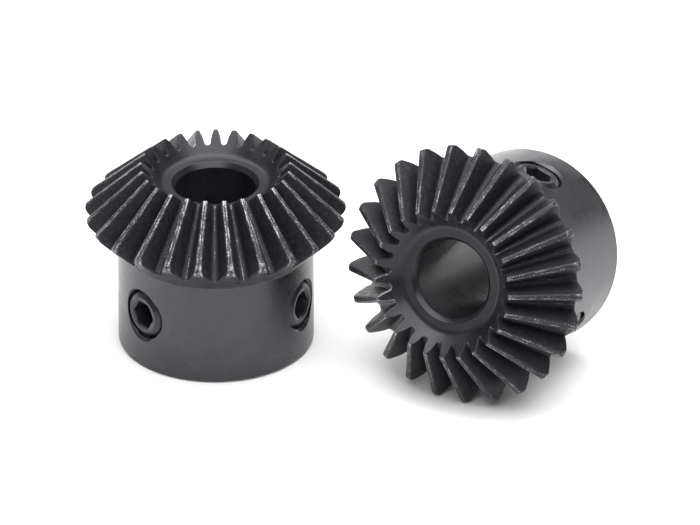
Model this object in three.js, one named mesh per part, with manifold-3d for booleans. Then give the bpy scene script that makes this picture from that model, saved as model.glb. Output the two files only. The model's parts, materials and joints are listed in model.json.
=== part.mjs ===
// Two equal straight bevel gears (a miter pair) with their set screws, laid out on a flat surface.
// Millimetres, +Z up, the surface at z = 0. Each gear is drawn about its own axis first: its hub's
// back face is at z = 0 and its teeth point towards the cone's apex on +Z.

import * as THREE from 'three';
import { mergeVertices } from 'three/addons/utils/BufferGeometryUtils.js';
import Module from 'manifold-3d';

const wasm = await Module();
wasm.setup();

// Teeth
const TEETH = 25;
const GEAR_MODULE = 1;
const PRESSURE_ANGLE = THREE.MathUtils.degToRad(20);
const PITCH_CONE_ANGLE = THREE.MathUtils.degToRad(45);
const FACE_WIDTH = 7.8;
const ADDENDUM = 1.0 * GEAR_MODULE;
const DEDENDUM_LARGE_END = 1.25 * GEAR_MODULE;
const DEDENDUM_SMALL_END = 0.95 * GEAR_MODULE;
const BACKLASH = 0.06;
const LARGE_END_THINNING = 0.2;
const ROOT_ROUNDING = 0.35;

// Body
const MOUNTING_DISTANCE = 26;
const HUB_RADIUS = 9.8;
const HUB_EDGE = 0.3;
const BORE_RADIUS = 4;
const BORE_EDGE_WIDTH = 0.4;
const BORE_EDGE_DEPTH = 0.5;
const FRONT_FACE_HEIGHT = 17.44;
const FRONT_FACE_ROUNDING = 0.8;

// Set screws, two in each hub, either side of one tooth's centre line
const SCREW_RADIUS = 2.42;
const SCREW_HOLE_RADIUS = 2.5;
const SCREW_LENGTH = 5;
const SCREW_OUTER_END = 9.5;
const SCREW_HEIGHT = 5.9;
const SCREW_HALF_SPREAD = THREE.MathUtils.degToRad(56);
const SCREW_EDGE = 0.25;
const SOCKET_ACROSS_FLATS = 2.5;
const SOCKET_DEPTH = 2.2;
const POINT_RADIUS = 1.6;
const POINT_LENGTH = 0.8;
const CUP_RADIUS = 1.0;
const CUP_DEPTH = 0.5;

// Layout: one gear stands on its hub, the other lies on its hub's rim and its tooth tips
const LYING_GEAR_OFFSET = new THREE.Vector2(26.77, 16.89);
const STANDING_GEAR_TURN = THREE.MathUtils.degToRad(-53.7);
const LYING_GEAR_TURN = THREE.MathUtils.degToRad(18.2);

const BODY_SEGMENTS = 2 * TEETH;
const SCREW_SEGMENTS = 24;
const INVOLUTE_STEPS = 4;
const ROOT_TURNS = [Math.PI / 6, Math.PI / 3];

// Sizes that follow from the ones above
const sine = Math.sin(PITCH_CONE_ANGLE);
const cosine = Math.cos(PITCH_CONE_ANGLE);
const pitchRadius = TEETH * GEAR_MODULE / 2;
const coneDistance = pitchRadius / sine;
const backConeRadius = pitchRadius / cosine;
const baseRadius = backConeRadius * Math.cos(PRESSURE_ANGLE);
const pitchPlaneHeight = MOUNTING_DISTANCE - pitchRadius / Math.tan(PITCH_CONE_ANGLE);
const smallEndScale = 1 - FACE_WIDTH / coneDistance;
const outsideRadius = pitchRadius + ADDENDUM * cosine;
const outsideHeight = pitchPlaneHeight + ADDENDUM * sine;

const blackOxideSteel = { color: 0x34343a, roughness: 0.45, metalness: 0.85 };
const blackScrewSteel = { color: 0x26262a, roughness: 0.4, metalness: 0.85 };

// A closed geometry as a solid that can be cut
function toSolid(geometry) {
  const bare = geometry.clone();
  bare.deleteAttribute('normal');
  bare.deleteAttribute('uv');
  const merged = mergeVertices(bare, 1e-5);
  const corners = merged.index.array;
  const triVerts = [];
  for (let i = 0; i < corners.length; i += 3) {
    const [a, b, c] = [corners[i], corners[i + 1], corners[i + 2]];
    if (a !== b && b !== c && c !== a) triVerts.push(a, b, c);
  }
  return new wasm.Manifold(new wasm.Mesh({
    numProp: 3,
    vertProperties: new Float32Array(merged.attributes.position.array),
    triVerts: new Uint32Array(triVerts),
  }));
}

function toMesh(name, solid, look) {
  const { vertProperties, triVerts } = solid.getMesh();
  const geometry = new THREE.BufferGeometry();
  geometry.setAttribute('position', new THREE.BufferAttribute(new Float32Array(vertProperties), 3));
  geometry.setIndex(new THREE.BufferAttribute(new Uint32Array(triVerts), 1));
  geometry.computeVertexNormals();
  const mesh = new THREE.Mesh(geometry, new THREE.MeshStandardMaterial(look));
  mesh.name = name;
  return mesh;
}

// A profile of [radius, height] points turned about +Z
function turned(profile, segments) {
  const points = profile.map(([radius, height]) => new THREE.Vector2(radius, height));
  return toSolid(new THREE.LatheGeometry(points, segments).rotateX(Math.PI / 2));
}

function involute(angle) {
  return Math.tan(angle) - angle;
}

// The back cone is rolled out flat: there the teeth are those of a spur gear of radius
// backConeRadius. This is half the width of a tooth space, as an angle, at one radius.
function spaceHalfAngle(radius) {
  const toothHalfPitchAngle = (Math.PI * GEAR_MODULE / 2 - BACKLASH) / (2 * backConeRadius);
  const flankAngle = Math.acos(Math.min(1, baseRadius / radius));
  const toothHalfAngle = toothHalfPitchAngle + involute(PRESSURE_ANGLE) - involute(flankAngle);
  return Math.PI * GEAR_MODULE / (2 * backConeRadius) - toothHalfAngle;
}

// One tooth space on the rolled-out back cone: x is the angle from the space's middle and y the
// height over the pitch line, from above the tooth tips down the flanks to a rounded root.
function toothSpaceShape() {
  const top = 1.35 * ADDENDUM;
  const flankFoot = ROOT_ROUNDING - DEDENDUM_LARGE_END;
  const footAngle = spaceHalfAngle(backConeRadius + flankFoot);
  const oneSide = [];
  for (let i = 0; i <= INVOLUTE_STEPS; i += 1) {
    const height = top + (flankFoot - top) * i / INVOLUTE_STEPS;
    oneSide.push([spaceHalfAngle(backConeRadius + height), height]);
  }
  for (const turn of ROOT_TURNS) {
    oneSide.push([footAngle * Math.cos(turn), flankFoot - ROOT_ROUNDING * Math.sin(turn)]);
  }
  const otherSide = oneSide.map(([angle, height]) => [-angle, height]).reverse();
  const outline = [...otherSide, ...oneSide];
  return new THREE.Shape(outline.map(([angle, height]) => new THREE.Vector2(angle, height)));
}

// The solid that cuts one tooth space at azimuth 0. It tapers towards the apex and runs past both
// ends of the teeth. Its root rises less than the taper, and its large end is a little wider.
function toothSpace() {
  const overrun = 0.1;
  const geometry = new THREE.ExtrudeGeometry(toothSpaceShape(), { depth: 1, bevelEnabled: false });
  const position = geometry.attributes.position;
  for (let i = 0; i < position.count; i += 1) {
    const along = position.getZ(i) * (1 + 2 * overrun) - overrun;
    const scale = 1 - along * (1 - smallEndScale);
    const dedendum = THREE.MathUtils.lerp(DEDENDUM_LARGE_END, DEDENDUM_SMALL_END, along);
    const height = position.getY(i);
    const stretch = height < 0 ? dedendum / (DEDENDUM_LARGE_END * scale) : 1;
    const radius = backConeRadius + height * stretch;
    const widening = LARGE_END_THINNING / 2 * (1 - along) / (scale * radius);
    const flatAngle = position.getX(i) + Math.sign(position.getX(i)) * widening;
    const azimuth = -flatAngle / cosine;
    const fromAxis = scale * radius * cosine;
    const belowApex = scale * (MOUNTING_DISTANCE - pitchPlaneHeight - height * stretch * sine);
    position.setXYZ(
      i,
      fromAxis * Math.cos(azimuth),
      fromAxis * Math.sin(azimuth),
      MOUNTING_DISTANCE - belowApex,
    );
  }
  return toSolid(geometry);
}

// The turned blank: hub, back cone, face cone over the tooth tips, front cone, front face and bore
function gearBlank() {
  const backConeFoot = pitchPlaneHeight - (pitchRadius - HUB_RADIUS) * Math.tan(PITCH_CONE_ANGLE);
  const frontTipRadius = smallEndScale * outsideRadius;
  const frontTipHeight = MOUNTING_DISTANCE - smallEndScale * (MOUNTING_DISTANCE - outsideHeight);
  const frontConeDrop = frontTipHeight - FRONT_FACE_HEIGHT;
  const frontConeFoot = frontTipRadius - frontConeDrop * Math.tan(PITCH_CONE_ANGLE);
  const roundingReach = FRONT_FACE_ROUNDING * Math.tan((Math.PI / 2 - PITCH_CONE_ANGLE) / 2);
  return turned([
    [BORE_RADIUS + BORE_EDGE_WIDTH, 0],
    [HUB_RADIUS - HUB_EDGE, 0],
    [HUB_RADIUS, HUB_EDGE],
    [HUB_RADIUS, backConeFoot],
    [outsideRadius, outsideHeight],
    [frontTipRadius, frontTipHeight],
    [frontConeFoot + roundingReach * sine, FRONT_FACE_HEIGHT + roundingReach * cosine],
    [frontConeFoot - roundingReach, FRONT_FACE_HEIGHT],
    [BORE_RADIUS + BORE_EDGE_WIDTH, FRONT_FACE_HEIGHT],
    [BORE_RADIUS, FRONT_FACE_HEIGHT - BORE_EDGE_DEPTH],
    [BORE_RADIUS, BORE_EDGE_DEPTH],
    [BORE_RADIUS + BORE_EDGE_WIDTH, 0],
  ], BODY_SEGMENTS);
}

// A round hole from the bore out through the hub's wall, along +X
function screwHole() {
  const inside = BORE_RADIUS / 2;
  const length = HUB_RADIUS + 1 - inside;
  const hole = new THREE.CylinderGeometry(SCREW_HOLE_RADIUS, SCREW_HOLE_RADIUS, length, SCREW_SEGMENTS);
  hole.rotateZ(Math.PI / 2);
  hole.translate(inside + length / 2, 0, SCREW_HEIGHT);
  return toSolid(hole);
}

// A gear with a tooth centred on azimuth 0 and its two screw holes
function gearSolid() {
  const toothPitch = 360 / TEETH;
  const space = toothSpace();
  const hole = screwHole();
  let solid = gearBlank();
  for (let tooth = 0; tooth < TEETH; tooth += 1) {
    solid = solid.subtract(space.rotate([0, 0, (tooth + 0.5) * toothPitch]));
  }
  for (const side of [-1, 1]) {
    const turn = THREE.MathUtils.radToDeg(side * SCREW_HALF_SPREAD);
    solid = solid.subtract(hole.rotate([0, 0, turn]));
  }
  return solid;
}

// A set screw along +Z, with a hexagon socket in its upper end and a cup point at z = 0
function setScrewSolid() {
  const body = turned([
    [0, CUP_DEPTH],
    [CUP_RADIUS, 0],
    [POINT_RADIUS, 0],
    [SCREW_RADIUS, POINT_LENGTH],
    [SCREW_RADIUS, SCREW_LENGTH - SCREW_EDGE],
    [SCREW_RADIUS - SCREW_EDGE, SCREW_LENGTH],
    [0, SCREW_LENGTH],
  ], SCREW_SEGMENTS);
  const cornerRadius = SOCKET_ACROSS_FLATS / Math.sqrt(3);
  const socket = new THREE.CylinderGeometry(cornerRadius, cornerRadius, 2 * SOCKET_DEPTH, 6);
  socket.rotateX(Math.PI / 2);
  socket.translate(0, 0, SCREW_LENGTH);
  return body.subtract(toSolid(socket));
}

// One gear with both its set screws in place
function gearWithScrews(letter) {
  const assembly = new THREE.Group();
  assembly.add(toMesh(`miter_gear_${letter}`, gearSolid(), blackOxideSteel));
  for (const [number, side] of [[1, 1], [2, -1]]) {
    const screw = toMesh(`set_screw_${letter}${number}`, setScrewSolid(), blackScrewSteel);
    screw.position.set(SCREW_OUTER_END - SCREW_LENGTH, 0, SCREW_HEIGHT);
    screw.rotation.y = Math.PI / 2;
    const place = new THREE.Group();
    place.rotation.z = side * SCREW_HALF_SPREAD;
    place.add(screw);
    assembly.add(place);
  }
  return assembly;
}

// The gear that stands on its hub's back face
function standingGear() {
  const gear = gearWithScrews('a');
  gear.rotation.z = STANDING_GEAR_TURN;
  return gear;
}

// The gear that lies on its hub's rim and its tooth tips, facing -Y and tipped up by the
// difference between the two radii
function lyingGear() {
  const tilt = Math.atan2(outsideRadius - HUB_RADIUS, outsideHeight - HUB_EDGE);
  const gear = gearWithScrews('b');
  gear.rotation.z = LYING_GEAR_TURN;
  const lying = new THREE.Group();
  lying.rotation.x = Math.PI / 2 - tilt;
  lying.add(gear);
  const floorHeight = new THREE.Box3().setFromObject(lying, true).min.z;
  lying.position.set(LYING_GEAR_OFFSET.x, LYING_GEAR_OFFSET.y, -floorHeight);
  return lying;
}

// Both gears, with the middle of their bounding box over the origin
function bevelGearPair() {
  const pair = new THREE.Group();
  pair.add(standingGear(), lyingGear());
  const middle = new THREE.Box3().setFromObject(pair, true).getCenter(new THREE.Vector3());
  for (const gear of pair.children) {
    gear.position.x -= middle.x;
    gear.position.y -= middle.y;
  }
  return pair;
}

const group = bevelGearPair();
export default group;
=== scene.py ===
import json
import math

import bpy
import numpy as np
from mathutils import Matrix, Vector


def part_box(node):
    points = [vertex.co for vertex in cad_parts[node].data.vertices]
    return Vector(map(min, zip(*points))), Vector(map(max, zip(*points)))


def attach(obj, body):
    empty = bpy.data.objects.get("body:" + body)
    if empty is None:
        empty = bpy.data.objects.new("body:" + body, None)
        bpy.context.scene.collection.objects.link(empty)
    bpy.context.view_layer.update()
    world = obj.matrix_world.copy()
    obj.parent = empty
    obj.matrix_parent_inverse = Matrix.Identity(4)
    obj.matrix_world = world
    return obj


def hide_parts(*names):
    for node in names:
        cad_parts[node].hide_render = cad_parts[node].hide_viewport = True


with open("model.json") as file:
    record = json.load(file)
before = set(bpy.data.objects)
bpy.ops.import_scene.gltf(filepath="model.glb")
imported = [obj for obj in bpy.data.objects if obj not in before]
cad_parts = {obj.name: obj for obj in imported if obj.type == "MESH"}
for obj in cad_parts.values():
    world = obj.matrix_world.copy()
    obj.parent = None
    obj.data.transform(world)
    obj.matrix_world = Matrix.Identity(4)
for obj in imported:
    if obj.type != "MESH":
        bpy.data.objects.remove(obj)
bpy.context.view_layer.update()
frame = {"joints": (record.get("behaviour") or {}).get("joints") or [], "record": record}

# Two equal bevel gears with their set screws. Each gear is meshed in millimetres in its own axes: Z is
# its axis, Z = 0 is its hub's back face, and a tooth stands on X. settle then takes it to its place.
MM = 0.001

# Tooth system, in millimetres: a straight bevel gear whose pitch cone stands at 45 degrees.
TEETH = 25
PITCH_RADIUS = 12.5
SLOPE = math.sin(math.radians(45))
CONE_DISTANCE = PITCH_RADIUS / SLOPE
PRESSURE_ANGLE = math.radians(20)
BACKLASH = 0.06
FACE_WIDTH = 7.8
ADDENDUM = 1.2
CREST_FULLNESS = 0.07
DEDENDUM_LARGE_END = 1.25
DEDENDUM_SMALL_END = 0.95
ROOT_ROUNDING = 0.35
SMALL_END_SCALE = 1 - FACE_WIDTH / CONE_DISTANCE
HALF_PITCH_ANGLE = math.pi / (2 * CONE_DISTANCE)

# Corners that deburring and handling have rounded. TIP_ROUNDING is at a tooth's outermost corner,
# between its crest and the back cone.
TIP_ROUNDING = 0.7
CREST_EDGE = 0.24
LARGE_END_EDGE = 0.18
SMALL_END_EDGE = 0.09
TURNED_EDGE = 0.1
CONE_FOOT_ROUNDING = 0.3
FRONT_FACE_ROUNDING = 0.8

# The teeth on each gear's far side from its screws are scuffed all over.
SCUFF_AZIMUTH = math.radians(184)
SCUFF_SPREAD = math.radians(24)
SCUFF_WEAR = 0.88

# Turned body. Heights are from the hub's back face, and the pitch cone's apex is at APEX_HEIGHT.
APEX_HEIGHT = 26.0
HUB_RADIUS = 9.8
HUB_EDGE = 0.3
BORE_RADIUS = 4.0
BORE_EDGE_WIDTH = 0.4
BORE_EDGE_DEPTH = 0.5
BACK_CONE_FOOT = 10.8
BACK_CONE_RIM = 0.8
FRONT_FACE_HEIGHT = 17.44
FRONT_CONE_FOOT = 5.41
FRONT_CONE_RIM = 0.35

# Set screws and their tapped holes. A place along a screw is its distance from the gear's axis.
SCREW_HEIGHT = 5.9
SCREW_OUTER_END = 9.65
SCREW_INNER_END = 4.5
SCREW_RADIUS = 2.42
SCREW_CORE_RADIUS = 2.06
SCREW_RING_RADIUS = 1.88
SCREW_RING_CHAMFER = 0.36
SCREW_NECK_DEPTH = 0.47
SCREW_EDGE = 0.03
SCREW_RING_EDGE = 0.06
POINT_RADIUS = 1.6
POINT_DEPTH = 0.3
POINT_LENGTH = 0.75
POINT_EDGE = 0.1
CUP_RADIUS = 1.0
CUP_LIP_DEPTH = 0.06
CUP_DEPTH = 0.5
CUP_CENTRE_RADIUS = 0.08
SOCKET_HALF_WIDTH = 1.25
SOCKET_LEAD_RADIUS = 1.57
SOCKET_MOUTH_EDGE = 0.05
SOCKET_DEPTH = 2.2
SOCKET_DRILL_DEPTH = 0.5
SOCKET_DRILL_RADIUS = 0.1

# The socket's mouth is round and turns into the hexagon as it goes in: (how far it has turned, depth).
SOCKET_MOUTH = ((0.0, 0.01), (0.5, 0.06), (1.0, 0.16), (1.0, 0.24))

# Threads. Start and end are from the screw's inner and outer ends, and the thread grows over its fade.
THREAD_PITCH = 0.8
THREAD_CREST_SHARE = 0.15
THREAD_FLANK_SHARE = 0.7
THREAD_START = 0.8
THREAD_END = 0.5
THREAD_FADE = 0.35
HOLE_RADIUS = 2.5
HOLE_THREAD_DEPTH = 0.24
HOLE_LEAD_START = 9.45
HOLE_START = 3.4
HOLE_END = 10.6

# How worn each part of a tooth is, from 0 to 1: along the rounded crest edge, on the crest itself from its
# middle outwards, just below the edge, and on the root's middle line. The crest edge's share is partly a
# painted highlight, and the root's middle line is only a painted highlight: bare steel laid where a
# reflection runs along the root.
CREST_EDGE_WEAR_AND_GLINT = (1.0, 0.7)
CREST_WEAR = (0.76, 0.86)
FLANK_TOP_WEAR = 0.25
ROOT_LINE_HIGHLIGHT = 0.98

# Factors on that wear and painted highlight: from the large end to the small end, on the small end's
# corners, where the factor also paints a glint, and for each gear.
ALONG_WEAR = (0.8, 1.0)
SMALL_END_WEAR_AND_GLINT = 1.2
GEAR_WEAR = {"a": 1.0, "b": 0.86}

# How finely the surfaces are divided. The cone rings are given by their share of the way over the cone.
FLANK_STEPS = 7
TIP_STEPS = 5
FACE_STEPS = 12
ARC_STEPS = 4
THREAD_STEPS = 16
SCREW_COLUMNS = 72
BACK_CONE_RINGS = (0.3, 0.6, 0.85)
FRONT_CONE_RINGS = (0.3, 0.65)
SHARP_ANGLE = math.radians(35)

# A gear's material slots. The front faces and the bore take less reflective copies of the turned finish,
# as painted shade.
TURNED, CUT, FRONT_SHADED, BORE_SHADED = range(4)

# Camera, in the frame's own millimetres and degrees.
CAMERA_TARGET = (-2.77, 5.53, 7.0)
CAMERA_AZIMUTH = 28.96
CAMERA_ELEVATION = 29.31
CAMERA_DISTANCE = 1203.5
CAMERA_LENS = 617.1
SENSOR_WIDTH = 36.0

# The studio is bright at the left and behind, and dim in front and at the right. The floor card's colour
# is darkened as painted shade at its end on the camera's side, from CARD_BRIGHT_END to CARD_DIM_END
# millimetres towards the camera.
CAMERA_SIDE = math.radians(CAMERA_AZIMUTH)
TOWARDS_CAMERA = (math.sin(CAMERA_SIDE), -math.cos(CAMERA_SIDE), 0.0)
DIM_SIDE = math.radians(65)
TOWARDS_DIM_SIDE = (math.sin(DIM_SIDE), -math.cos(DIM_SIDE), 0.0)
CARD_BRIGHT_END = 45.0
CARD_DIM_END = 105.0
CARD_DIM = 0.5
FLOOR_HALF_SIZE = 1.5
FLOOR_DROP = 0.02 * MM

# The studio's brightness at each height, as (sine of the elevation, brightness), and its factor on the dim
# side. It is dim where a direction's share towards DIM_SIDE is past the second number, and at full
# brightness before the first.
STUDIO_TONES = [(0.0, 2.4), (0.08, 2.2), (0.16, 0.12), (0.3, 0.1), (0.5, 0.5), (1.0, 1.5)]
STUDIO_TURN = (-0.6, 0.0)
STUDIO_DIM = 0.25
SOFTBOX_DISTANCE = 1.2
SOFTBOX_SIZE = 1.4


# ---------------------------------------------------------------- outlines


def involute(angle):
    return math.tan(angle) - angle


def tooth_half_angle(height):
    """Half the tooth's angle on the flattened back cone, at a height above the pitch line."""
    base = CONE_DISTANCE * math.cos(PRESSURE_ANGLE)
    at_pitch = (math.pi / 2 - BACKLASH) / (2 * CONE_DISTANCE)
    flank = math.acos(min(1.0, base / (CONE_DISTANCE + height)))
    return at_pitch + involute(PRESSURE_ANGLE) - involute(flank)


def rounded(corners, steps=ARC_STEPS):
    """Points of an open polyline. Each corner is (x, y, rounding radius)."""
    points = [np.array(c[:2], float) for c in corners]
    made = [points[0]]
    for i in range(1, len(points) - 1):
        arrive = points[i] - points[i - 1]
        leave = points[i + 1] - points[i]
        arrive = arrive / np.linalg.norm(arrive)
        leave = leave / np.linalg.norm(leave)
        turn = math.acos(max(-1.0, min(1.0, float(arrive @ leave))))
        side = leave - arrive * math.cos(turn)
        side = side / np.linalg.norm(side)
        radius = corners[i][2]
        start = points[i] - arrive * radius * math.tan(turn / 2)
        for step in range(steps + 1):
            angle = turn * step / steps
            made.append(start + radius * (math.sin(angle) * arrive + (1 - math.cos(angle)) * side))
    made.append(points[-1])
    return made


def half_outline(along):
    """Half of a tooth and of the space beside it, cut square to the tooth.

    A point is (arc length from the tooth's middle, height above the pitch line). along runs from 0 at the
    large end to 1 at the small end.
    """
    scale = 1 - along * (1 - SMALL_END_SCALE)
    dedendum = DEDENDUM_LARGE_END + (DEDENDUM_SMALL_END - DEDENDUM_LARGE_END) * along
    deepening = dedendum / (DEDENDUM_LARGE_END * scale)
    foot = ROOT_ROUNDING - DEDENDUM_LARGE_END
    short_of_arc = max(0.0, TIP_ROUNDING - along * FACE_WIDTH)
    crest = ADDENDUM - (TIP_ROUNDING - math.sqrt(TIP_ROUNDING ** 2 - short_of_arc ** 2)) / scale

    def place(angle, height):
        real = height * (deepening if height < 0 else 1.0)
        fullness = CREST_FULLNESS * max(0.0, height / ADDENDUM) ** 2 if angle > 0 else 0.0
        return np.array((scale * (CONE_DISTANCE + real) * angle + fullness, scale * real))

    flank = [place(tooth_half_angle(h), h) for h in np.linspace(crest, foot, FLANK_STEPS + 1)]
    middle = place(0.0, crest)
    corner = rounded([(*middle, 0), (*flank[0], CREST_EDGE * scale), (*flank[1], 0)])[1:-1]
    land = [middle, middle + (corner[0] - middle) * 0.6]
    space_half = HALF_PITCH_ANGLE - tooth_half_angle(foot)
    root = []
    for turn in np.linspace(0, math.pi / 2, FLANK_STEPS)[1:]:
        angle = HALF_PITCH_ANGLE - space_half * math.cos(turn)
        root.append(place(angle, foot - ROOT_ROUNDING * math.sin(turn)))
    return np.array(land + corner + flank[1:] + root)


def tooth_ring(along, inset):
    """Azimuth, radius and height of a ring of points over the teeth, set back into the steel by inset."""
    half = half_outline(along)
    closed = np.vstack([half[1] * (-1, 1), half, 2 * half[-1] * (1, 0) + half[-2] * (-1, 1)])
    run = closed[2:] - closed[:-2]
    normal = np.stack([-run[:, 1], run[:, 0]], axis=1)
    normal /= np.linalg.norm(normal, axis=1)[:, None]
    half = half - inset * normal
    pitch = np.vstack([half[:0:-1] * (-1, 1), half[:-1]])
    scale = 1 - along * (1 - SMALL_END_SCALE)
    radius = (scale * CONE_DISTANCE + pitch[:, 1]) * SLOPE
    height = APEX_HEIGHT - scale * PITCH_RADIUS + pitch[:, 1] * SLOPE
    turns = 2 * math.pi / TEETH * np.arange(TEETH)[:, None]
    azimuth = (turns + pitch[:, 0] / radius).ravel()
    return azimuth, np.tile(radius, TEETH), np.tile(height, TEETH)


def wear_and_highlight_share():
    """How worn each column of a ring is, with the painted highlight on the root's middle line, for columns
    in half_outline's order.
    """
    share = np.zeros(len(half_outline(0.0)))
    corner = len(CREST_WEAR)
    below_corner = corner + ARC_STEPS + 1
    share[:corner] = CREST_WEAR
    share[corner:below_corner] = np.linspace(*CREST_EDGE_WEAR_AND_GLINT, ARC_STEPS + 1)
    share[below_corner] = FLANK_TOP_WEAR
    share[-1] = ROOT_LINE_HIGHLIGHT
    return np.tile(np.concatenate([share[:0:-1], share[:-1]]), TEETH)


# ---------------------------------------------------------------- meshes


def grid_faces(rows, columns, closed_rows):
    """Quads between rings of points. They face out where rings climb and columns run anticlockwise."""
    faces = []
    for i in range(rows if closed_rows else rows - 1):
        low, high = i * columns, (i + 1) % rows * columns
        for j in range(columns):
            k = (j + 1) % columns
            faces.append((low + j, low + k, high + k, high + j))
    return faces


def ring(azimuth, radius, height):
    """Points round Z. Any of the three may be one number or one for each point."""
    return np.stack([np.cos(azimuth) * radius, np.sin(azimuth) * radius, height + 0 * azimuth], axis=1)


def gear_mesh(name, use):
    """The toothed blank, before its holes are tapped. use is how much handling has worn its teeth, and it
    also scales their painted highlights.
    """
    rings, wear_and_highlight, kinds = [], [], []
    columns_per_tooth = 2 * (len(half_outline(0.0)) - 1)
    columns = TEETH * columns_per_tooth
    tooth_pitch = 2 * math.pi / TEETH
    tooth_azimuth = np.repeat(tooth_pitch * np.arange(TEETH), columns_per_tooth)
    even_azimuth = tooth_pitch * (np.arange(columns) / columns_per_tooth - 0.5)
    scuff = SCUFF_WEAR * np.exp(-(((tooth_azimuth - SCUFF_AZIMUTH) / SCUFF_SPREAD) ** 2))
    tooth_wear_and_highlight = np.maximum(wear_and_highlight_share() * use, scuff)

    def put(points, kind, worn_and_highlit=0.0):
        """Adds the next ring. kind is its material slot, and its last argument is a factor on its wear and
        painted highlights.
        """
        rings.append(points)
        wear_and_highlight.append(tooth_wear_and_highlight * worn_and_highlit)
        kinds.append(kind)

    def bore_shaded_or(kind, radius):
        return BORE_SHADED if math.isclose(radius, BORE_RADIUS) else kind

    rear_azimuth, rear_radius, rear_height = tooth_ring(0.0, LARGE_END_EDGE)
    front_azimuth, front_radius, front_height = tooth_ring(1.0, SMALL_END_EDGE)

    back = [
        (BORE_RADIUS, BORE_EDGE_DEPTH * 2, 0),
        (BORE_RADIUS, BORE_EDGE_DEPTH, TURNED_EDGE),
        (BORE_RADIUS + BORE_EDGE_WIDTH, 0, TURNED_EDGE / 2),
        (HUB_RADIUS - HUB_EDGE, 0, TURNED_EDGE),
        (HUB_RADIUS, HUB_EDGE, TURNED_EDGE),
        (HUB_RADIUS, BACK_CONE_FOOT, CONE_FOOT_ROUNDING),
        (HUB_RADIUS + BACK_CONE_RIM, BACK_CONE_FOOT + BACK_CONE_RIM, 0),
    ]
    for radius, height in rounded(back):
        put(ring(even_azimuth, radius, height), bore_shaded_or(TURNED, radius))
    start_radius = HUB_RADIUS + BACK_CONE_RIM
    start_height = BACK_CONE_FOOT + BACK_CONE_RIM
    for share in BACK_CONE_RINGS:
        azimuth = even_azimuth + (rear_azimuth - even_azimuth) * share
        radius = start_radius + (rear_radius - start_radius) * share
        height = start_height + (rear_height - start_height) * share
        put(ring(azimuth, radius, height), TURNED)

    for step in range(ARC_STEPS + 1):
        angle = math.pi / 2 * step / ARC_STEPS
        inset = LARGE_END_EDGE * (1 - math.sin(angle))
        along = LARGE_END_EDGE * (1 - math.cos(angle)) / FACE_WIDTH
        put(ring(*tooth_ring(along, inset)), CUT, 1.0)
    for angle in np.linspace(math.pi / 2, math.pi / 4, TIP_STEPS, endpoint=False)[::-1]:
        along = TIP_ROUNDING * (1 - math.cos(angle)) / FACE_WIDTH
        put(ring(*tooth_ring(along, 0.0)), CUT, 1.0)
    first = TIP_ROUNDING / FACE_WIDTH
    last = 1 - SMALL_END_EDGE / FACE_WIDTH
    for along in np.linspace(first, last, FACE_STEPS + 1)[1:-1]:
        put(ring(*tooth_ring(along, 0.0)), CUT, ALONG_WEAR[0] + (ALONG_WEAR[1] - ALONG_WEAR[0]) * along)
    # The small end's corner rings get a painted glint of bare steel as well as wear.
    for step in range(ARC_STEPS + 1):
        angle = math.pi / 2 * step / ARC_STEPS
        inset = SMALL_END_EDGE * (1 - math.cos(angle))
        along = 1 - SMALL_END_EDGE * (1 - math.sin(angle)) / FACE_WIDTH
        put(ring(*tooth_ring(along, inset)), CUT, SMALL_END_WEAR_AND_GLINT)

    rim_radius = FRONT_CONE_FOOT + FRONT_CONE_RIM
    rim_height = FRONT_FACE_HEIGHT + FRONT_CONE_RIM
    for share in FRONT_CONE_RINGS:
        azimuth = front_azimuth + (even_azimuth - front_azimuth) * share
        radius = front_radius + (rim_radius - front_radius) * share
        height = front_height + (rim_height - front_height) * share
        put(ring(azimuth, radius, height), FRONT_SHADED)
    front = [
        (rim_radius, rim_height, 0),
        (FRONT_CONE_FOOT, FRONT_FACE_HEIGHT, FRONT_FACE_ROUNDING),
        (BORE_RADIUS + BORE_EDGE_WIDTH, FRONT_FACE_HEIGHT, TURNED_EDGE / 2),
        (BORE_RADIUS, FRONT_FACE_HEIGHT - BORE_EDGE_DEPTH, TURNED_EDGE),
        (BORE_RADIUS, FRONT_FACE_HEIGHT - 2 * BORE_EDGE_DEPTH, 0),
    ]
    for radius, height in rounded(front):
        put(ring(even_azimuth, radius, height), bore_shaded_or(FRONT_SHADED, radius))

    mesh = bpy.data.meshes.new(name)
    mesh.from_pydata(np.vstack(rings).tolist(), [], grid_faces(len(rings), columns, True))
    # A strip of faces that joins teeth or bore to a turned or faced ring takes that ring's material.
    strips = []
    for kind, following in zip(kinds, kinds[1:] + kinds[:1]):
        strips.append(kind if following in (kind, CUT, BORE_SHADED) else following)
    mesh.polygons.foreach_set("material_index", np.repeat(strips, columns))
    # This attribute holds the teeth's wear together with painted highlights on the crest edges, small-end
    # corners and root lines.
    layer = mesh.attributes.new("wear_and_highlight", "FLOAT", "POINT")
    layer.data.foreach_set("value", np.concatenate(wear_and_highlight).astype(np.float32))
    return mesh


def thread_wave(place, azimuth):
    """0 on a thread's flat crest and 1 in its groove, for a right-handed thread."""
    phase = (place / THREAD_PITCH - azimuth / (2 * math.pi)) % 1
    return np.clip((np.abs(2 * phase - 1) - THREAD_CREST_SHARE) / THREAD_FLANK_SHARE, 0, 1)


def capped_mesh(name, rings):
    """A closed mesh through rings of points, with a flat fan at each end."""
    columns = len(rings[0])
    points = np.vstack([*rings, rings[0].mean(axis=0), rings[-1].mean(axis=0)])
    faces = grid_faces(len(rings), columns, False)
    foot, top = len(points) - 2, len(points) - 1
    last = (len(rings) - 1) * columns
    for j in range(columns):
        k = (j + 1) % columns
        faces.append((foot, k, j))
        faces.append((top, last + j, last + k))
    mesh = bpy.data.meshes.new(name)
    mesh.from_pydata(points.tolist(), [], faces)
    return mesh


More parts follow.
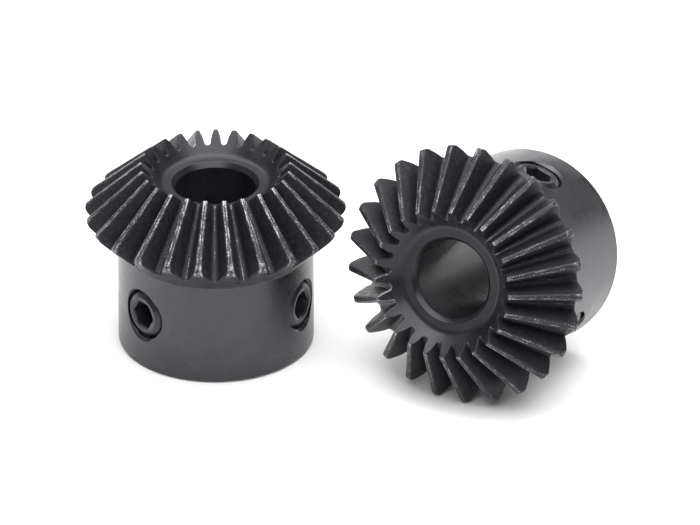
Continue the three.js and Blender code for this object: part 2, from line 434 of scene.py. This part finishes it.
def tap_mesh(name):
    """What a tap leaves empty, along its own Z."""
    azimuth = 2 * math.pi * np.arange(SCREW_COLUMNS) / SCREW_COLUMNS
    rings = []
    for place in np.arange(HOLE_START, HOLE_END, THREAD_PITCH / THREAD_STEPS):
        groove = HOLE_THREAD_DEPTH * thread_wave(place, azimuth)
        lead = max(0.0, place - HOLE_LEAD_START)
        rings.append(ring(azimuth, HOLE_RADIUS + np.maximum(groove, lead), place))
    return capped_mesh(name, rings)


def screw_mesh(name):
    """A cup-point socket set screw along its own Z, its socket end up."""
    azimuth = 2 * math.pi * np.arange(SCREW_COLUMNS) / SCREW_COLUMNS
    sixth = math.pi / 3
    hexagon = SOCKET_HALF_WIDTH / np.cos((azimuth + sixth / 2) % sixth - sixth / 2)
    rings = []

    def circle(radius, place):
        rings.append(ring(azimuth, radius + 0 * azimuth, place))

    point = [
        (CUP_CENTRE_RADIUS, CUP_DEPTH, 0),
        (CUP_RADIUS, CUP_LIP_DEPTH, POINT_EDGE),
        (POINT_RADIUS, POINT_DEPTH, POINT_EDGE),
        (SCREW_CORE_RADIUS, POINT_LENGTH, 0),
    ]
    for radius, depth in rounded(point):
        circle(radius, SCREW_INNER_END + depth)
    start, end = SCREW_INNER_END + THREAD_START, SCREW_OUTER_END - THREAD_END
    for place in np.arange(start, end, THREAD_PITCH / THREAD_STEPS):
        fade = min(1.0, (place - start) / THREAD_FADE)
        groove = (SCREW_RADIUS - SCREW_CORE_RADIUS) * thread_wave(place, azimuth)
        full = SCREW_RADIUS - groove
        rings.append(ring(azimuth, SCREW_CORE_RADIUS + (full - SCREW_CORE_RADIUS) * fade, place))
    top = [
        (SCREW_CORE_RADIUS, SCREW_OUTER_END - SCREW_NECK_DEPTH, 0),
        (SCREW_RADIUS - SCREW_EDGE, SCREW_OUTER_END - SCREW_RING_CHAMFER, SCREW_EDGE),
        (SCREW_RING_RADIUS, SCREW_OUTER_END, SCREW_RING_EDGE),
        (SOCKET_LEAD_RADIUS + SOCKET_MOUTH_EDGE, SCREW_OUTER_END, 0),
    ]
    for radius, place in rounded(top):
        circle(radius, place)
    for share, depth in (*SOCKET_MOUTH, (1.0, SOCKET_DEPTH)):
        radius = SOCKET_LEAD_RADIUS + (hexagon - SOCKET_LEAD_RADIUS) * share
        rings.append(ring(azimuth, radius, SCREW_OUTER_END - depth))
    circle(SOCKET_DRILL_RADIUS, SCREW_OUTER_END - SOCKET_DEPTH - SOCKET_DRILL_DEPTH)
    return capped_mesh(name, rings)


# ---------------------------------------------------------------- node helpers


def new_material(name):
    """A material with one Principled shader. Returns the material, its tree and that shader."""
    material = bpy.data.materials.new(name)
    material.use_nodes = True
    tree = material.node_tree
    tree.nodes.clear()
    shader = tree.nodes.new("ShaderNodeBsdfPrincipled")
    output = tree.nodes.new("ShaderNodeOutputMaterial")
    tree.links.new(shader.outputs[0], output.inputs["Surface"])
    return material, tree, shader


def node(tree, kind, inputs=(), **settings):
    """A new node. inputs maps a socket's name or number to a value, or to the output that feeds it."""
    made = tree.nodes.new("ShaderNode" + kind)
    for name, value in settings.items():
        setattr(made, name, value)
    for key, value in dict(inputs).items():
        if isinstance(value, bpy.types.NodeSocket):
            tree.links.new(value, made.inputs[key])
        else:
            made.inputs[key].default_value = value
    return made


def calc(tree, operation, *values, clamp=False):
    made = node(tree, "Math", dict(enumerate(values)), operation=operation, use_clamp=clamp)
    return made.outputs[0]


def vector(tree, operation, inputs, output="Vector"):
    return node(tree, "VectorMath", inputs, operation=operation).outputs[output]


def noise(tree, place, scale, detail=2.0, w=None):
    """Noise from 0 to 1 around 0.5, in features of about 1/scale of a millimetre."""
    inputs = {"Vector": place, "Scale": scale, "Detail": detail}
    if w is not None:
        inputs["W"] = w
    made = node(tree, "TexNoise", inputs, noise_dimensions="3D" if w is None else "4D")
    return made.outputs[0]


def ramp(tree, value, low, high, start=0.0, end=1.0):
    """start below low and end above high, smooth between."""
    inputs = {"Value": value, "From Min": low, "From Max": high, "To Min": start, "To Max": end}
    return node(tree, "MapRange", inputs, interpolation_type="SMOOTHSTEP").outputs[0]


def mix_colour(tree, share, low, high):
    made = node(tree, "Mix", {"Factor": share}, data_type="RGBA")
    for key, value in ((6, low), (7, high)):
        if isinstance(value, bpy.types.NodeSocket):
            tree.links.new(value, made.inputs[key])
        else:
            made.inputs[key].default_value = (*value, 1.0)
    return made.outputs[2]


def own_place(tree):
    """A point's place in its own gear's or screw's axes, in millimetres, as settle stores it."""
    return node(tree, "Attribute", attribute_name="place").outputs["Vector"]


# ---------------------------------------------------------------- materials

# Colours and roughnesses of black oxide and of the steel under it. The numbers inside a material are
# noise scales in features per millimetre, bump depths in millimetres, and the noise values where an
# effect starts and is complete.
OXIDE = (0.0105, 0.01, 0.012)
OXIDE_THIN = (0.019, 0.0185, 0.0225)
OXIDE_TINT = (0.93, 0.93, 1.0, 1.0)
BARE_STEEL = (0.44, 0.44, 0.45)
# The front faces' and the bore's IORs are lower only to paint shade on them.
TURNED_IOR = 1.58
FRONT_SHADE_IOR = 1.41
BORE_SHADE_IOR = 1.36
CUT_IOR = 1.365
SCREW_IOR = 1.48
TURNED_ROUGHNESS = (0.24, 0.36)
CUT_ROUGHNESS = (0.46, 0.62)
CUT_RUBBED_SMOOTHER = 0.1
SCREW_ROUGHNESS = (0.28, 0.42)
PAPER_TONES = ((0.9, 0.9, 0.9), (0.92, 0.92, 0.92))
PAPER_ROUGHNESS = 0.85


def finish_steel(tree, shader, mottle, bare, rough, ior, bumps):
    """Black oxide over steel: mottled, and rubbed through to bare metal where bare is 1.

    bumps is a list of (height, depth in millimetres).
    """
    oxide = mix_colour(tree, mottle, OXIDE, OXIDE_THIN)
    colour = mix_colour(tree, bare, oxide, BARE_STEEL)
    tree.links.new(colour, shader.inputs["Base Color"])
    tree.links.new(bare, shader.inputs["Metallic"])
    tree.links.new(rough, shader.inputs["Roughness"])
    shader.inputs["IOR"].default_value = ior
    shader.inputs["Specular Tint"].default_value = OXIDE_TINT
    normal = None
    for height, depth in bumps:
        inputs = {"Height": height, "Strength": 1.0, "Distance": depth * MM}
        if normal is not None:
            inputs["Normal"] = normal
        normal = node(tree, "Bump", inputs).outputs[0]
    tree.links.new(normal, shader.inputs["Normal"])


def turned_steel(name, ior):
    """The lathe's fine rings under black oxide: hub, faces, cones and bore."""
    material, tree, shader = new_material(name)
    place = own_place(tree)
    axes = node(tree, "SeparateXYZ", {0: place}).outputs
    flat = vector(tree, "MULTIPLY", {0: place, 1: (1, 1, 0)})
    radius = vector(tree, "LENGTH", {0: flat}, "Value")
    around = vector(tree, "NORMALIZE", {0: flat})
    # Noise that varies fast along and out from the axis, and slowly round it, is a lathe tool's marks.
    slow_around = vector(tree, "SCALE", {0: around, "Scale": 0.35})
    along_axis = node(tree, "CombineXYZ", {2: axes[2]}).outputs[0]
    lathe_place = vector(tree, "ADD", {0: slow_around, 1: along_axis})
    rings = noise(tree, lathe_place, 9.0, 4.0, w=radius)
    fine_rings = noise(tree, lathe_place, 26.0, 2.0, w=radius)
    grain = noise(tree, place, 11.0, 3.0)
    cloud = noise(tree, place, 0.42, 4.0)
    mottle = ramp(tree, cloud, 0.35, 0.75)
    specks = ramp(tree, noise(tree, place, 5.0, 2.0), 0.73, 0.8, 0.0, 0.5)
    half_rings = calc(tree, "MULTIPLY", rings, 0.5)
    half_cloud = calc(tree, "MULTIPLY", cloud, 0.5)
    unevenness = calc(tree, "ADD", half_rings, half_cloud)
    rough = ramp(tree, unevenness, 0.3, 0.7, *TURNED_ROUGHNESS)
    bumps = [(rings, 0.004), (fine_rings, 0.0015), (grain, 0.0035)]
    finish_steel(tree, shader, mottle, specks, rough, ior, bumps)
    return material


def cut_steel(name):
    """Cut teeth: streaks from the cutter towards the cone's apex, pits, worn crests, and painted
    highlights of bare steel on the crest edges, small-end corners and root lines.
    """
    material, tree, shader = new_material(name)
    place = own_place(tree)
    from_apex = vector(tree, "SUBTRACT", {0: place, 1: (0, 0, APEX_HEIGHT)})
    distance = vector(tree, "LENGTH", {0: from_apex}, "Value")
    direction = vector(tree, "NORMALIZE", {0: from_apex})
    across = vector(tree, "SCALE", {0: direction, "Scale": CONE_DISTANCE})
    slow_along = calc(tree, "MULTIPLY", distance, 0.14)
    streaks = noise(tree, across, 7.0, 3.0, w=slow_along)
    pits = noise(tree, place, 8.0, 4.0)
    cloud = noise(tree, place, 2.2, 5.0)
    # Wear and the painted highlights break up: where pits and streaks are high, bare metal shows on less
    # worn steel too.
    worn_and_highlit = node(tree, "Attribute", attribute_name="wear_and_highlight").outputs["Fac"]
    pit_part = calc(tree, "MULTIPLY", pits, 0.6)
    streak_part = calc(tree, "MULTIPLY", streaks, 0.6)
    chance = calc(tree, "ADD", pit_part, streak_part)
    luck = calc(tree, "MULTIPLY", calc(tree, "SUBTRACT", chance, 0.6), 2.2)
    worn_through_and_highlit = ramp(tree, calc(tree, "ADD", worn_and_highlit, luck), 0.75, 1.2, 0.0, 0.85)
    specks = ramp(tree, noise(tree, place, 7.0, 2.0), 0.68, 0.78, 0.0, 0.3)
    bare = calc(tree, "MAXIMUM", worn_through_and_highlit, specks)
    rubbed_and_highlit = ramp(tree, worn_and_highlit, 0.1, 0.9)
    mottle = calc(tree, "MAXIMUM", ramp(tree, cloud, 0.38, 0.68), rubbed_and_highlit)
    unrubbed_rough = ramp(tree, pits, 0.3, 0.7, *CUT_ROUGHNESS)
    rough = calc(tree, "SUBTRACT", unrubbed_rough, calc(tree, "MULTIPLY", rubbed_and_highlit, CUT_RUBBED_SMOOTHER))
    bumps = [(streaks, 0.012), (pits, 0.012)]
    finish_steel(tree, shader, mottle, bare, rough, CUT_IOR, bumps)
    return material


def screw_steel(name):
    """Rolled and headed screw steel under a darker, oilier oxide."""
    material, tree, shader = new_material(name)
    place = own_place(tree)
    grain = noise(tree, place, 9.0, 4.0)
    cloud = noise(tree, place, 1.1, 3.0)
    specks = ramp(tree, noise(tree, place, 6.0, 2.0), 0.7, 0.78, 0.0, 0.5)
    mottle = ramp(tree, cloud, 0.35, 0.7)
    rough = ramp(tree, grain, 0.3, 0.7, *SCREW_ROUGHNESS)
    finish_steel(tree, shader, mottle, specks, rough, SCREW_IOR, [(grain, 0.006)])
    return material


def floor_card(name):
    """Pale card with a faint fibre, with painted shade darkening its colour towards its end on the
    camera's side.
    """
    material, tree, shader = new_material(name)
    place = vector(tree, "SCALE", {0: node(tree, "TexCoord").outputs["Object"], "Scale": 1 / MM})
    fibre = noise(tree, place, 0.7, 4.0)
    # Painted shade: the card's colour darkens towards the camera.
    nearness = vector(tree, "DOT_PRODUCT", {0: place, 1: TOWARDS_CAMERA}, "Value")
    shade = ramp(tree, nearness, CARD_BRIGHT_END, CARD_DIM_END)
    cloud = ramp(tree, noise(tree, place, 0.02, 2.0), 0.3, 0.7)
    paper = mix_colour(tree, cloud, *PAPER_TONES)
    tone = mix_colour(tree, shade, paper, (CARD_DIM, CARD_DIM, CARD_DIM))
    tree.links.new(tone, shader.inputs["Base Color"])
    shader.inputs["Roughness"].default_value = PAPER_ROUGHNESS
    bump = node(tree, "Bump", {"Height": fibre, "Distance": 0.01 * MM})
    tree.links.new(bump.outputs[0], shader.inputs["Normal"])
    return material


# ---------------------------------------------------------------- pieces


def joint(name):
    return next(j for j in frame["joints"] if j["name"] == name)


def axes_matrix(origin, z_axis, x_axis):
    """The matrix from a piece's own axes to an origin, a Z direction and the side where X points."""
    z = Vector(z_axis).normalized()
    y = z.cross(Vector(x_axis)).normalized()
    turn = Matrix((y.cross(z), y, z)).transposed().to_4x4()
    return Matrix.Translation(origin) @ turn


def add_piece(mesh, materials):
    for material in materials:
        mesh.materials.append(material)
    mesh.polygons.foreach_set("use_smooth", np.ones(len(mesh.polygons), bool))
    piece = bpy.data.objects.new(mesh.name, mesh)
    bpy.context.scene.collection.objects.link(piece)
    return piece


def subtract(piece, cutter):
    """Cuts one closed piece out of another for good."""
    cut = piece.modifiers.new("cut", "BOOLEAN")
    cut.operation = "DIFFERENCE"
    cut.solver = "MANIFOLD"
    cut.object = cutter
    bpy.context.view_layer.update()
    shown = piece.evaluated_get(bpy.context.evaluated_depsgraph_get())
    made = bpy.data.meshes.new_from_object(shown)
    piece.modifiers.clear()
    piece.data = made
    bpy.data.objects.remove(cutter)


def settle(piece, to_frame, body, node_name):
    """Takes a finished piece, in millimetres in its own axes, to its place in the frame.

    It stands there for the CAD node, on the CAD body.
    """
    mesh = piece.data
    places = np.empty(len(mesh.vertices) * 3, np.float32)
    mesh.vertices.foreach_get("co", places)
    mesh.attributes.new("place", "FLOAT_VECTOR", "POINT").data.foreach_set("vector", places)
    mesh.transform(to_frame @ Matrix.Scale(MM, 4))
    mesh.set_sharp_from_angle(angle=SHARP_ANGLE)
    weigh = piece.modifiers.new("weigh", "WEIGHTED_NORMAL")
    weigh.keep_sharp = True
    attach(piece, body)
    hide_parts(node_name)


def add_gear(letter, origin, axis, steels, screw):
    """One gear with its two tapped holes and two set screws, turned as the frame's joints say."""
    outward = [Vector(joint(f"screw_{letter}{n}_drive")["axis"]) for n in (1, 2)]
    to_frame = axes_matrix(origin, axis, outward[0] + outward[1])
    gear = add_piece(gear_mesh(f"gear_{letter}_steel", GEAR_WEAR[letter]), steels)
    for number, direction in enumerate(outward, 1):
        own_direction = to_frame.to_3x3().transposed() @ direction
        along = axes_matrix((0, 0, SCREW_HEIGHT), own_direction, (0, 0, 1))
        tap = add_piece(tap_mesh("tap"), steels[:1])
        tap.matrix_world = along
        subtract(gear, tap)
        name = f"screw_{letter}{number}"
        set_screw = add_piece(screw_mesh(f"{name}_steel"), [screw])
        millimetres_to_frame = to_frame @ Matrix.Scale(MM, 4) @ along @ Matrix.Scale(1 / MM, 4)
        settle(set_screw, millimetres_to_frame, name, f"set_{name}")
    settle(gear, to_frame, f"gear_{letter}", f"miter_gear_{letter}")


gear_steels = [
    turned_steel("turned_black_oxide", TURNED_IOR),
    cut_steel("cut_black_oxide"),
    # These two copies of the turned finish differ only by a lower IOR, as painted shade on the front faces
    # and in the bore.
    turned_steel("front_shaded_black_oxide", FRONT_SHADE_IOR),
    turned_steel("bore_shaded_black_oxide", BORE_SHADE_IOR),
]
rolled_steel = screw_steel("screw_black_oxide")
openings = frame["record"]["physics"]["openings"]
low, high = next(o for o in openings if o["name"] == "gear_a_bore")["box_m"]
foot_a = ((low[0] + high[0]) / 2, (low[1] + high[1]) / 2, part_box("miter_gear_a")[0].z)
spin = joint("gear_b_spin")
add_gear("a", foot_a, (0, 0, 1), gear_steels, rolled_steel)
add_gear("b", spin["pos_m"], spin["axis"], gear_steels, rolled_steel)


# ---------------------------------------------------------------- studio


def add_floor():
    mesh = bpy.data.meshes.new("floor")
    half = FLOOR_HALF_SIZE
    corners = [(-half, -half, 0), (half, -half, 0), (half, half, 0), (-half, half, 0)]
    mesh.from_pydata(corners, [], [(0, 1, 2, 3)])
    mesh.materials.append(floor_card("floor_card"))
    floor = bpy.data.objects.new("floor", mesh)
    floor.location.z = -FLOOR_DROP
    bpy.context.scene.collection.objects.link(floor)


def direction_at(azimuth, elevation):
    """A unit vector, from angles in degrees. Azimuth 0 is towards -Y and 90 towards +X."""
    a, e = math.radians(azimuth), math.radians(elevation)
    return Vector((math.sin(a) * math.cos(e), -math.cos(a) * math.cos(e), math.sin(e)))


def add_softbox(name, azimuth, elevation, watts):
    """A square light facing the pair."""
    towards = direction_at(azimuth, elevation)
    data = bpy.data.lights.new(name, "AREA")
    data.shape = "SQUARE"
    data.size = SOFTBOX_SIZE
    data.energy = watts
    light = bpy.data.objects.new(name, data)
    light.location = towards * SOFTBOX_DISTANCE
    light.rotation_euler = (-towards).to_track_quat("-Z", "Y").to_euler()
    light.visible_camera = False
    bpy.context.scene.collection.objects.link(light)


def add_world():
    """A plain grey studio all round."""
    world = bpy.data.worlds.new("studio")
    world.use_nodes = True
    tree = world.node_tree
    direction = node(tree, "TexCoord").outputs["Generated"]
    height = node(tree, "SeparateXYZ", {0: direction}).outputs[2]
    shades = node(tree, "ValToRGB", {0: height})
    stops = shades.color_ramp.elements
    while len(stops) < len(STUDIO_TONES):
        stops.new(1.0)
    for stop, (place, tone) in zip(stops, STUDIO_TONES):
        stop.position = place
        stop.color = (tone, tone, tone, 1.0)
    tree.links.new(shades.outputs[0], tree.nodes["Background"].inputs["Color"])
    facing = vector(tree, "DOT_PRODUCT", {0: direction, 1: TOWARDS_DIM_SIDE}, "Value")
    strength = ramp(tree, facing, *STUDIO_TURN, 1.0, STUDIO_DIM)
    tree.links.new(strength, tree.nodes["Background"].inputs["Strength"])
    bpy.context.scene.world = world


def add_camera():
    back = direction_at(CAMERA_AZIMUTH, CAMERA_ELEVATION)
    data = bpy.data.cameras.new("camera")
    data.lens = CAMERA_LENS
    data.sensor_width = SENSOR_WIDTH
    data.clip_start, data.clip_end = 0.1, 10.0
    camera = bpy.data.objects.new("camera", data)
    camera.location = (Vector(CAMERA_TARGET) + back * CAMERA_DISTANCE) * MM
    camera.rotation_euler = (-back).to_track_quat("-Z", "Y").to_euler()
    bpy.context.scene.collection.objects.link(camera)
    bpy.context.scene.camera = camera


add_floor()
add_softbox("overhead", azimuth=45, elevation=68, watts=24.0)
add_softbox("rear_overhead", azimuth=200, elevation=72, watts=15.0)
add_world()
add_camera()
bpy.context.scene.view_settings.view_transform = "Standard"
